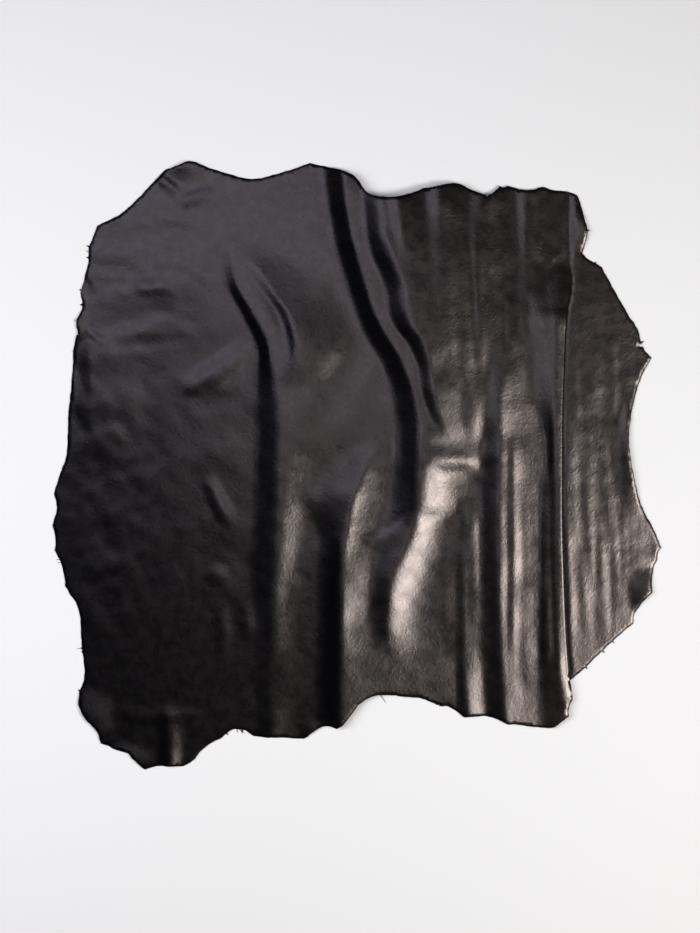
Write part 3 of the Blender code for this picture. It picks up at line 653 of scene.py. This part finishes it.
@dataclass(frozen=True)
class Blank:
    """The flat blank: the outline that the skin is cut to, and the points on it."""

    edge_step: float = 4.0       # mm between points of the edge
    grid: float = 4.7            # mm between points of the even grid
    row_step: float = 5.0        # mm between the rows across the pleat
    clearance: float = 3.9       # mm from the edge to the nearest point inside
    lip: float = 2.0             # width of the rim where the skin bends down to its edge
    cut: tuple[Row, ...] = ((0.0, -391.5), (4.5, -384.0))   # edge across the pleat: s, y
    # distances of a row's points before the roll's crest and past the section's end
    approach: tuple[float, ...] = (1.6, 3.2, 5.0, 7.0, 9.5, 12.5, 16.0, 20.0, 24.5)
    beyond: tuple[float, ...] = (2.0, 5.0, 9.0, 13.5)
    roll_segments: int = 9
    bend_segments: int = 5
    flat_step: float = 7.0
    knife_seed: int = 5
    waver: float = 0.16          # mm, of each of the knife's waves
    waver_lengths: tuple[float, ...] = (13.0, 17.0, 23.0, 31.0, 47.0)
    tag_gap: float = 0.6         # mm that a point keeps from the base of a tag
    low_y: float = -345.0        # the pleat's close rows lie between these heights
    high_y: float = 345.0
    slight: float = 6.0          # degrees: a pleat that turns less has no section
    short_run: float = 1.5       # mm: a run back that is shorter gets no points
    grid_gap: float = 0.7        # share of the grid that stays free beside the close rows
    rim_gap: float = 0.8         # share of the lip that the rim's points keep clear
    rounds: int = 6              # steps that settle the height of a point on the hidden cut
    between: int = 4             # places on each side of the outline for testing clearance

    def stretches(self, edge: tuple[Stretch, ...], end: Point) -> list[Point]:
        """Points along all the stretches, each ending at the corner of the next one."""
        corners = [points[0] for _, points in edge[1:]] + [end]
        return [p for (_, points), corner in zip(edge, corners)
                for p in smooth_curve([*points, corner], self.edge_step)]

    def section(self, y: float) -> list[float]:
        """Lengths past the roll's crest of the points across the pleat at height y."""
        pleat = Pleat(np.array([y]))
        angle, first = float(pleat.angle[0]), float((pleat.roll * pleat.angle)[0])
        depth, total = float(pleat.depth[0]), float(pleat.length[0])
        if angle < math.radians(self.slight):
            return [0.0]
        roll = np.linspace(0.0, first, self.roll_segments + 1)
        run = np.linspace(first, first + depth, 2 + round(depth / self.flat_step))[1:]
        bend = np.linspace(first + depth, total, self.bend_segments + 1)[1:]
        middle = run if depth > self.short_run else []
        return [float(s) for s in (*roll, *middle, *bend)]

    def outline(self) -> list[Point]:
        """Outline of the blank: the edge with the hidden length of the pleat added."""
        panel = self.stretches(PANEL_EDGE, WING_EDGE[0][1][0])
        wing = np.array(self.stretches(WING_EDGE, WING_END) + [WING_END])
        wing[:, 0] += Pleat(wing[:, 1]).hidden
        tail = self.stretches(TAIL_EDGE, PANEL_EDGE[0][1][0])
        last = wing[-1]
        ragged = self.knife_marks(tail + panel + [tuple(p) for p in wing])
        across = []
        for s in self.section(self.cut[-1][1]):
            y = self.cut[-1][1]
            for _ in range(self.rounds):
                crest = float(Pleat(np.array([y])).x[0])
                past = [self.cut[0][0], self.cut[1][0], last[0] - crest]
                y = float(np.interp(s, past, [self.cut[0][1], self.cut[1][1], last[1]]))
            across.append((crest + s, y))
        return ragged + across[::-1]

    def knife_marks(self, edge: list[Point]) -> list[Point]:
        """The visible edge with the knife's waver, and with the tags and nicks it left."""
        way = np.array(edge)
        draw = np.random.default_rng(self.knife_seed)
        travelled = np.concatenate(([0.0], np.cumsum(np.hypot(*np.diff(way, axis=0).T))))
        waver = sum(np.sin(2 * math.pi * travelled / length + draw.uniform(0, 2 * math.pi))
                    for length in self.waver_lengths) * self.waver
        ahead = np.gradient(way, axis=0)
        outward = np.column_stack((-ahead[:, 1], ahead[:, 0])) / np.hypot(*ahead.T)[:, None]
        way[1:-1] += outward[1:-1] * waver[1:-1, None]
        for x, y, half in TAGS:
            tip = np.array((x + self.hidden_at(x, y), y))
            near = int(np.hypot(*(way - tip).T).argmin())
            beside = way[near - 1:near + 2]
            chord = beside[2] - beside[0]
            ahead = chord / np.hypot(*chord)
            foot = beside[0] + ahead * float((tip - beside[0]) @ ahead)
            marks = np.array((foot - ahead * half, tip, foot + ahead * half))
            offset = (beside - foot) @ ahead
            way = np.concatenate((way[:near - 1], beside[offset < -half - self.tag_gap], marks,
                                  beside[offset > half + self.tag_gap], way[near + 2:]))
        return [(float(px), float(py)) for px, py in way]

    @staticmethod
    def hidden_at(x: float, y: float) -> float:
        """How far a place beyond the pleat moves when the blank lies flat."""
        pleat = Pleat(np.array([float(y)]))
        return float(pleat.hidden[0]) if x > pleat.x[0] + 1.0 and y > WING_END[1] else 0.0

    def inner(self, outline: list[Point]) -> list[Point]:
        """Points inside the outline: close rows on the pleat, an even grid, and the rim."""
        ring = np.array(outline)
        low, high = ring.min(axis=0), ring.max(axis=0)
        points: list[Point] = []
        for y in np.arange(self.high_y, self.low_y, -self.row_step):
            pleat = Pleat(np.array([y]))
            crest, end = float(pleat.x[0]), float(pleat.x[0] + pleat.length[0])
            points += [(crest + s, float(y)) for s in self.section(float(y))]
            points += [(crest - s, float(y)) for s in self.approach]
            points += [(end + s, float(y)) for s in self.beyond]
        rows = np.arange(low[1], high[1], self.grid)
        pleat = Pleat(rows)
        near = pleat.x - self.approach[-1] - self.grid * self.grid_gap
        far = pleat.x + pleat.length + self.beyond[-1] + self.grid * self.grid_gap
        columns = np.arange(low[0], high[0], self.grid)
        for y, left, right in zip(rows, near, far):
            beside = self.low_y - self.grid < y < self.high_y + self.grid
            points += [(float(x), float(y)) for x in columns
                       if not beside or x < left or x > right]
        ahead = np.roll(ring, -1, axis=0) - np.roll(ring, 1, axis=0)
        inward = np.column_stack((ahead[:, 1], -ahead[:, 0])) / np.hypot(*ahead.T)[:, None]
        inset = [(float(px), float(py)) for px, py in ring + inward * self.lip]
        return (self.clear_of(ring, points, self.clearance)
                + self.clear_of(ring, inset, self.lip * self.rim_gap))

    def clear_of(self, ring: Array, points: list[Point], clearance: float) -> list[Point]:
        """The points that are at least the clearance away from the outline."""
        tree = KDTree(len(ring) * self.between)
        following = np.roll(ring, -1, axis=0)
        for step in range(self.between):
            for number, place in enumerate(ring + (following - ring) * step / self.between):
                tree.insert((place[0], place[1], 0.0), number)
        tree.balance()
        return [p for p in points if tree.find((p[0], p[1], 0.0))[2] > clearance]


# ---------------- finishes
def add_node(tree: bpy.types.NodeTree, kind: str, links: dict | None = None,
             **settings: object) -> bpy.types.Node:
    """Adds a node with its settings and its inputs.

    Args:
        tree: Node tree that the node goes in.
        kind: The node's type.
        links: Values or sockets for its inputs, by the input's name or number.
        settings: Values for the node's own properties.

    Returns:
        The node.
    """
    node = tree.nodes.new(kind)
    for name, value in settings.items():
        setattr(node, name, value)
    for key, value in (links or {}).items():
        if isinstance(value, bpy.types.NodeSocket):
            tree.links.new(value, node.inputs[key])
        else:
            node.inputs[key].default_value = value
    return node


def new_material(name: str) -> tuple[bpy.types.Material, bpy.types.NodeTree]:
    """A new material with this name, and its node tree, which is empty."""
    material = bpy.data.materials.new(name)
    material.use_nodes = True
    material.node_tree.nodes.clear()
    return material, material.node_tree


@dataclass(frozen=True)
class GrainLeather:
    """Full-grain calf leather, drum-dyed black and finished with wax.

    The dye takes the grain to a cool near black, a little browner where the skin is thin
    and stretched; the wax gives it a soft even sheen that shows every ripple.
    """

    name: str = "black_calf_full_grain_drum_dyed_waxed"
    dye: str = "030305"
    dye_brown: str = "0d0908"
    roughness: float = 0.275
    roughness_swing: float = 0.035
    pebble: float = 2.6          # grain pebbles are 0.8 mm; drawn coarser so that they show
    pebble_depth: float = 0.11   # mm, as is the next but one
    wrinkle: float = 7.0         # mm between the fine wrinkles
    wrinkle_depth: float = 0.26
    mottle: float = 16.8         # mm across a patch of more or less wax
    cloud: float = 120.0         # mm across a patch of more or less dye
    pattern: float = 1200.0      # mm that the flat pattern's map spans
    wax: str = "fff0ea"          # the wax and the dye under it warm the shine a little

    def material(self) -> bpy.types.Material:
        """Builds the material."""
        material, tree = new_material(self.name)
        flat = add_node(tree, "ShaderNodeUVMap", uv_map="flat")
        place = add_node(tree, "ShaderNodeMapping",
                         {"Vector": flat.outputs["UV"], "Scale": (self.pattern,) * 3})
        at = place.outputs["Vector"]
        cloud = add_node(tree, "ShaderNodeTexNoise",
                         {"Vector": at, "Scale": 1 / self.cloud, "Detail": 4.0})
        worn = add_node(tree, "ShaderNodeAttribute", attribute_name="worn")
        brown = add_node(tree, "ShaderNodeMath", {0: cloud.outputs["Fac"], 1: 0.5},
                         operation="SUBTRACT")
        browner = add_node(tree, "ShaderNodeMath",
                           {0: brown.outputs[0], 1: 0.8, 2: worn.outputs["Fac"]},
                           operation="MULTIPLY_ADD", use_clamp=True)
        colour = add_node(tree, "ShaderNodeMix",
                          {"Factor": browner.outputs[0], 6: linear(self.dye),
                           7: linear(self.dye_brown)}, data_type="RGBA")
        pebble = add_node(tree, "ShaderNodeTexVoronoi",
                          {"Vector": at, "Scale": 1 / self.pebble, "Randomness": 1.0},
                          feature="SMOOTH_F1")
        wrinkle = add_node(tree, "ShaderNodeTexNoise",
                           {"Vector": at, "Scale": 1 / self.wrinkle, "Detail": 5.0,
                            "Roughness": 0.6, "Distortion": 0.6})
        mottle = add_node(tree, "ShaderNodeTexNoise",
                          {"Vector": at, "Scale": 1 / self.mottle, "Detail": 3.0})
        gloss = add_node(tree, "ShaderNodeMapRange",
                         {"Value": mottle.outputs["Fac"], "From Min": 0.3, "From Max": 0.7,
                          "To Min": self.roughness - self.roughness_swing,
                          "To Max": self.roughness + self.roughness_swing})
        low = add_node(tree, "ShaderNodeBump",
                       {"Height": wrinkle.outputs["Fac"], "Strength": 1.0,
                        "Distance": self.wrinkle_depth * MM})
        fine = add_node(tree, "ShaderNodeBump",
                        {"Height": pebble.outputs["Distance"], "Strength": 1.0,
                         "Distance": self.pebble_depth * MM,
                         "Normal": low.outputs["Normal"]})
        shader = add_node(tree, "ShaderNodeBsdfPrincipled",
                          {"Base Color": colour.outputs[2],
                           "Roughness": gloss.outputs["Result"], "IOR": 1.5,
                           "Specular Tint": linear(self.wax),
                           "Normal": fine.outputs["Normal"]})
        add_node(tree, "ShaderNodeOutputMaterial", {"Surface": shader.outputs["BSDF"]})
        return material


@dataclass(frozen=True)
class RawLeather:
    """Leather that isn't finished: a rough matt surface of bare fibres."""

    name: str
    colour: str
    fibre: float                 # mm across a tuft of nap or a bundle of fibres
    detail: float
    roughness: float
    strength: float              # of the relief
    depth: float                 # mm, of the relief
    pale: str = ""               # second colour, where the fibres vary
    mix: float = 0.5             # roughness of the pattern
    sheen: float = 0.0

    def material(self) -> bpy.types.Material:
        """Builds the material."""
        material, tree = new_material(self.name)
        place = add_node(tree, "ShaderNodeTexCoord")
        fibre = add_node(tree, "ShaderNodeTexNoise",
                         {"Vector": place.outputs["Object"], "Scale": 1 / (self.fibre * MM),
                          "Detail": self.detail, "Roughness": self.mix})
        colour = linear(self.colour)
        if self.pale:
            colour = add_node(tree, "ShaderNodeMix",
                              {"Factor": fibre.outputs["Fac"], 6: colour,
                               7: linear(self.pale)}, data_type="RGBA").outputs[2]
        rough = add_node(tree, "ShaderNodeBump",
                         {"Height": fibre.outputs["Fac"], "Strength": self.strength,
                          "Distance": self.depth * MM})
        shader = add_node(tree, "ShaderNodeBsdfPrincipled",
                          {"Base Color": colour, "Roughness": self.roughness,
                           "Sheen Weight": self.sheen, "Normal": rough.outputs["Normal"]})
        add_node(tree, "ShaderNodeOutputMaterial", {"Surface": shader.outputs["BSDF"]})
        return material


# flesh side of the skin, shaved and left unfinished: a dull grey-brown nap
FLESH_SIDE = RawLeather("calf_flesh_side_shaved", "2c2725", 3.0, 6.0, 0.95, 1.0, 0.3,
                        pale="413936", mix=0.7, sheen=0.15)
# raw cut edge: the dyed fibres of the skin's thickness, matt and nearly black
CUT_EDGE = RawLeather("calf_cut_edge_raw", "14100f", 0.6, 3.0, 0.85, 0.8, 0.15)


@dataclass(frozen=True)
class TablePaper:
    """Matt white background paper: it shows only soft shadows."""

    name: str = "background_paper_matt_white"
    colour: str = "b2b2b2"

    def material(self) -> bpy.types.Material:
        """Builds the material."""
        material = bpy.data.materials.new(self.name)
        material.use_nodes = True
        shader = material.node_tree.nodes["Principled BSDF"]
        shader.inputs["Base Color"].default_value = linear(self.colour)
        shader.inputs["Roughness"].default_value = 0.9
        shader.inputs["Specular IOR Level"].default_value = 0.2
        return material


# ---------------- the hide
@dataclass
class Hide:
    """The whole skin, one sheet with its grain side up."""

    skin: Skin
    blank: Blank
    name: str = "hide_skin"
    droop: float = 1.3           # mm that the very edge bends down
    worn_from: float = 20.0      # mm to the right of the middle where wear begins
    worn_width: float = 420.0    # and the width over which it grows
    worn_most: float = 0.75
    shift: Array = field(default_factory=lambda: np.zeros(3))

    def flat_mesh(self) -> tuple[Array, list[tuple[int, ...]]]:
        """Triangulates the flat blank.

        Returns:
            Rows of u and y for the points, and the triangles.
        """
        outline = self.blank.outline()
        points = outline + self.blank.inner(outline)
        places = [Vector(p) for p in points]
        loop = [list(range(len(outline)))]
        flat, _, faces, _, _, _ = delaunay_2d_cdt(places, [], loop, INSIDE, MERGE)
        used = np.unique(np.array(faces))
        number = np.full(len(flat), -1)
        number[used] = np.arange(len(used))
        return (np.array([(p.x, p.y) for p in flat])[used],
                [tuple(int(number[i]) for i in face) for face in faces])

    def build(self) -> bpy.types.Object:
        """Builds the folded sheet with its map, its wear and its thickness."""
        flat, faces = self.flat_mesh()
        placed = self.skin.folded(flat[:, 0], flat[:, 1])
        rim = len(self.blank.outline())
        lowest = self.skin.thickness / 2
        placed[:rim, 2] = np.maximum(placed[:rim, 2] - self.droop, lowest)
        low, high = placed.min(axis=0), placed.max(axis=0)
        middle = [(a + b) / 2 for a, b in zip(CAD_BOX[0], CAD_BOX[1])]
        self.shift = np.array((middle[0] / MM - (low[0] + high[0]) / 2,
                               middle[1] / MM - (low[1] + high[1]) / 2, 0.0))
        mesh = bpy.data.meshes.new(self.name)
        mesh.from_pydata(((placed + self.shift) * MM).tolist(), [], faces)
        self.face_up(mesh)
        self.add_map(mesh, flat)
        self.add_wear(mesh, placed)
        sheet = new_object(self.name, mesh)
        for finish in (GrainLeather(), FLESH_SIDE, CUT_EDGE):
            sheet.data.materials.append(finish.material())
        solid = sheet.modifiers.new("thickness", "SOLIDIFY")
        solid.thickness = self.skin.thickness * MM
        solid.offset = 0.0
        solid.use_even_offset = False
        solid.material_offset = Side.FLESH.value
        solid.material_offset_rim = Side.CUT.value
        return made_plain(sheet)

    def face_up(self, mesh: bpy.types.Mesh) -> None:
        """Turns the faces so that the grain side is up."""
        shape = bmesh.new()
        shape.from_mesh(mesh)
        if sum(face.normal.z * face.calc_area() for face in shape.faces) < 0:
            bmesh.ops.reverse_faces(shape, faces=shape.faces)
        for face in shape.faces:
            face.smooth = True
        shape.to_mesh(mesh)
        shape.free()

    def add_map(self, mesh: bpy.types.Mesh, flat: Array) -> None:
        """Gives the mesh the flat pattern as its UV map, in shares of the pattern's span."""
        span = GrainLeather().pattern
        layer = mesh.uv_layers.new(name="flat")
        corners = np.zeros(len(mesh.loops), dtype=np.int32)
        mesh.loops.foreach_get("vertex_index", corners)
        uv = (flat[corners] - flat.min(axis=0)) / span
        layer.uv.foreach_set("vector", uv.astype(np.float32).ravel())

    def add_wear(self, mesh: bpy.types.Mesh, placed: Array) -> None:
        """Marks how thin and worn the skin is: more towards the wing on the right."""
        share = ramp((placed[:, 0] - self.worn_from) / self.worn_width) * self.worn_most
        worn = mesh.attributes.new("worn", "FLOAT", "POINT")
        worn.data.foreach_set("value", share.astype(np.float32))

    def edge_places(self) -> list[Vec3]:
        """Places in metres along the edge that shows, clockwise from the pleat's foot."""
        ring = np.array(self.blank.outline())
        hidden = len(self.blank.section(self.blank.cut[-1][1]))
        ring = ring[:len(ring) - hidden]
        return ((self.skin.folded(ring[:, 0], ring[:, 1]) + self.shift) * MM).tolist()

    def flat_size(self) -> Vec3:
        """Width, length and area of the flat blank, in metres and square metres."""
        ring = np.array(self.blank.outline()) * MM
        following = np.roll(ring, -1, axis=0)
        area = abs((ring[:, 0] * following[:, 1] - following[:, 0] * ring[:, 1]).sum()) / 2
        width, length = np.ptp(ring, axis=0)
        return float(width), float(length), float(area)


def made_plain(thing: bpy.types.Object, sharp: float = 50.0) -> bpy.types.Object:
    """Turns an object with modifiers into a plain mesh at the origin.

    Args:
        thing: Object whose modifiers are applied; it is removed.
        sharp: Edges sharper than this, in degrees, aren't shaded smooth.

    Returns:
        The new object, with the old one's name.
    """
    name = thing.name
    graph = bpy.context.evaluated_depsgraph_get()
    mesh = bpy.data.meshes.new_from_object(thing.evaluated_get(graph))
    bpy.data.objects.remove(thing)
    mesh.name = name
    mesh.set_sharp_from_angle(angle=math.radians(sharp))
    return new_object(name, mesh)


@dataclass(frozen=True)
class EdgeFibres:
    """Short loose fibres that stand out of the raw cut edge, scattered along it."""

    name: str = "edge_fibres"
    spacing: float = 3.6 * MM
    shortest: float = 0.7 * MM
    longest: float = 3.0 * MM
    radius: float = 0.28 * MM
    share: float = 0.32          # of the places that carry a fibre
    seed: int = 21
    taper: float = 0.3           # radius of a tip over that of its root
    stray: tuple[Vec3, Vec3] = ((-0.9, -0.9, -0.25), (0.9, 0.9, 0.35))

    def build(self, places: list[Vec3]) -> bpy.types.Object:
        """Builds the fibres.

        Args:
            places: Points along the edge, clockwise seen from above.

        Returns:
            The fibres as one plain mesh.
        """
        mesh = bpy.data.meshes.new(self.name)
        mesh.from_pydata(places, [(i, i + 1) for i in range(len(places) - 1)], [])
        edge = new_object(self.name, mesh)
        finish = replace(CUT_EDGE, name="calf_edge_fibres_loose").material()
        group, sockets = self.tree()
        grow = edge.modifiers.new("fibres", "NODES")
        grow.node_group = group
        for name, value in (("Spacing", self.spacing), ("Shortest", self.shortest),
                            ("Longest", self.longest), ("Share", self.share),
                            ("Seed", self.seed), ("Finish", finish)):
            grow[sockets[name]] = value
        return made_plain(edge)

    def tree(self) -> tuple[bpy.types.NodeTree, dict[str, str]]:
        """Builds the node tree.

        Returns:
            The tree, and the identifier of each of its inputs by name.
        """
        tree = bpy.data.node_groups.new("edge_fibres", "GeometryNodeTree")
        face = tree.interface
        face.new_socket("Geometry", in_out="INPUT", socket_type="NodeSocketGeometry")
        face.new_socket("Geometry", in_out="OUTPUT", socket_type="NodeSocketGeometry")
        kinds = {"Spacing": "Float", "Shortest": "Float", "Longest": "Float",
                 "Share": "Float", "Seed": "Int", "Finish": "Material"}
        sockets = {name: face.new_socket(name, in_out="INPUT",
                                         socket_type=f"NodeSocket{kind}").identifier
                   for name, kind in kinds.items()}
        given = add_node(tree, "NodeGroupInput").outputs
        edge = add_node(tree, "GeometryNodeMeshToCurve", {"Mesh": given["Geometry"]})
        even = add_node(tree, "GeometryNodeResampleCurve",
                        {"Curve": edge.outputs[0], "Length": given["Spacing"]}, mode="LENGTH")
        points = add_node(tree, "GeometryNodeCurveToPoints", {"Curve": even.outputs[0]},
                          mode="EVALUATED")
        outward = add_node(tree, "ShaderNodeVectorMath",
                           {0: (0.0, 0.0, 1.0), 1: points.outputs["Tangent"]},
                           operation="CROSS_PRODUCT")
        stray = add_node(tree, "FunctionNodeRandomValue",
                         {0: self.stray[0], 1: self.stray[1], "Seed": given["Seed"]},
                         data_type="FLOAT_VECTOR")
        aim = add_node(tree, "ShaderNodeVectorMath",
                       {0: outward.outputs[0], 1: stray.outputs[0]}, operation="ADD")
        turned = add_node(tree, "FunctionNodeAlignRotationToVector",
                          {"Vector": aim.outputs[0]}, axis="Z")
        kept = add_node(tree, "FunctionNodeRandomValue",
                        {"Probability": given["Share"], "Seed": given["Seed"]},
                        data_type="BOOLEAN")
        length = add_node(tree, "FunctionNodeRandomValue",
                          {2: given["Shortest"], 3: given["Longest"], "Seed": given["Seed"]},
                          data_type="FLOAT")
        size = add_node(tree, "ShaderNodeCombineXYZ",
                        {"X": 1.0, "Y": 1.0, "Z": length.outputs[1]})
        fibre = add_node(tree, "GeometryNodeMeshCone",
                         {"Vertices": 4, "Radius Top": self.radius * self.taper,
                          "Radius Bottom": self.radius, "Depth": 1.0})
        placed = add_node(tree, "GeometryNodeInstanceOnPoints",
                          {"Points": points.outputs["Points"], "Selection": kept.outputs[3],
                           "Instance": fibre.outputs["Mesh"],
                           "Rotation": turned.outputs[0], "Scale": size.outputs[0]})
        real = add_node(tree, "GeometryNodeRealizeInstances", {0: placed.outputs[0]})
        finished = add_node(tree, "GeometryNodeSetMaterial",
                            {"Geometry": real.outputs[0], "Material": given["Finish"]})
        add_node(tree, "NodeGroupOutput", {0: finished.outputs[0]})
        return tree, sockets


@dataclass(frozen=True)
class LooseThreads:
    """Threads of skin that the knife left hanging on the edge, each where it lies."""

    name: str = "loose_threads"
    radius: float = 0.5 * MM
    height: float = 0.9 * MM
    thin: float = 0.4            # radius of the loose end over the thread's own

    def build(self, shift: Array) -> bpy.types.Object:
        """Builds the threads as one plain mesh, moved by the hide's own shift in mm."""
        curve = bpy.data.curves.new(self.name, "CURVE")
        curve.dimensions = "3D"
        curve.bevel_depth = self.radius
        curve.bevel_resolution = 1
        curve.use_fill_caps = True
        for thread in THREADS:
            spline = curve.splines.new("NURBS")
            spline.points.add(len(thread) - 1)
            for point, (x, y) in zip(spline.points, thread):
                point.co = ((x + shift[0]) * MM, (y + shift[1]) * MM, self.height, 1.0)
            spline.points[-1].radius = self.thin
            spline.order_u = 3
            spline.use_endpoint_u = True
        curve.materials.append(replace(CUT_EDGE, name="calf_threads_loose").material())
        return made_plain(new_object(self.name, curve))


# ---------------- studio
@dataclass(frozen=True)
class Softbox:
    """Large square light with a diffuser, aimed at a point.

    One that is meant for the paper alone evens out the background and leaves the hide be.
    """

    name: str
    place: Vec3
    target: Vec3
    width: float
    length: float
    power: float
    colour: str
    paper_only: bool = False

    def build(self, paper: bpy.types.Collection) -> None:
        """Puts the light in the scene.

        Args:
            paper: Collection that holds the background paper.
        """
        light = bpy.data.lights.new(self.name, "AREA")
        light.shape = "RECTANGLE"
        light.size = self.width
        light.size_y = self.length
        light.energy = self.power
        light.color = linear(self.colour)[:3]
        lamp = new_object(self.name, light)
        lamp.location = self.place
        way = Vector(self.target) - Vector(self.place)
        lamp.rotation_euler = way.to_track_quat("-Z", "Y").to_euler()
        lamp.visible_camera = False
        if self.paper_only:
            lamp.light_linking.receiver_collection = paper


@dataclass(frozen=True)
class Studio:
    """Pale table, soft lights and the camera above the hide."""

    table_size: float = 8.0
    camera_height: float = 3.0
    camera_place: Point = (-0.0114, -0.0016)
    frame_length: float = 1.5488       # metres of table along the long side of the view
    sensor: float = 36.0
    fill: float = 0.012
    lights: tuple[Softbox, ...] = (
        Softbox("right_softbox", (1.60, -0.60, 2.33), (0.0, 0.0, 0.0), 0.9, 1.1, 108.0, "fffcf8"),
        Softbox("neck_softbox", (-0.69, 0.82, 2.20), (-0.1, 0.1, 0.0), 1.2, 0.7, 9.0, "dde3ff"),
        Softbox("top_softbox", (-0.02, 0.38, 2.20), (-0.02, 0.38, 0.0), 0.5, 0.9, 4.4, "f4f4ff"),
        Softbox("paper_softbox", (-1.90, 0.0, 2.0), (-0.4, 0.0, 0.0), 1.2, 2.0, 94.0, "fcfbff",
                True),
    )

    def build(self) -> None:
        """Builds the table, the lights, the fill and the camera."""
        paper = self.build_table()
        for light in self.lights:
            light.build(paper)
        world = bpy.data.worlds.new("studio_fill")
        world.use_nodes = True
        background = world.node_tree.nodes["Background"]
        background.inputs["Color"].default_value = linear("f2f5fa")
        background.inputs["Strength"].default_value = self.fill
        bpy.context.scene.world = world
        self.build_camera()
        bpy.context.scene.view_settings.view_transform = "Standard"

    def build_table(self) -> bpy.types.Collection:
        """Builds the table top that the hide lies on, in a collection of its own."""
        mesh = bpy.data.meshes.new("table_top")
        shape = bmesh.new()
        bmesh.ops.create_grid(shape, x_segments=1, y_segments=1, size=self.table_size / 2)
        shape.to_mesh(mesh)
        shape.free()
        mesh.materials.append(TablePaper().material())
        table = bpy.data.objects.new("table_top", mesh)
        paper = bpy.data.collections.new("paper")
        bpy.context.scene.collection.children.link(paper)
        paper.objects.link(table)
        return paper

    def build_camera(self) -> None:
        """Builds the camera, which looks straight down."""
        data = bpy.data.cameras.new("camera")
        data.sensor_width = self.sensor
        data.lens = self.sensor * self.camera_height / self.frame_length
        camera = new_object("camera", data)
        camera.location = (*self.camera_place, self.camera_height)
        bpy.context.scene.camera = camera


def main() -> None:
    hide = Hide(Skin(), Blank())
    skin = hide.build()
    fibres = EdgeFibres().build(hide.edge_places())
    threads = LooseThreads().build(hide.shift)
    for piece in (skin, fibres, threads):
        LOG.info("%s: %d faces", piece.name, len(piece.data.polygons))
        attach(piece, BODY)
    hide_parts(NODE)
    width, length, area = hide.flat_size()
    LOG.info("flat blank: %.3f x %.3f m, %.4f m2", width, length, area)
    Studio().build()


if __name__ == "__main__":
    main()
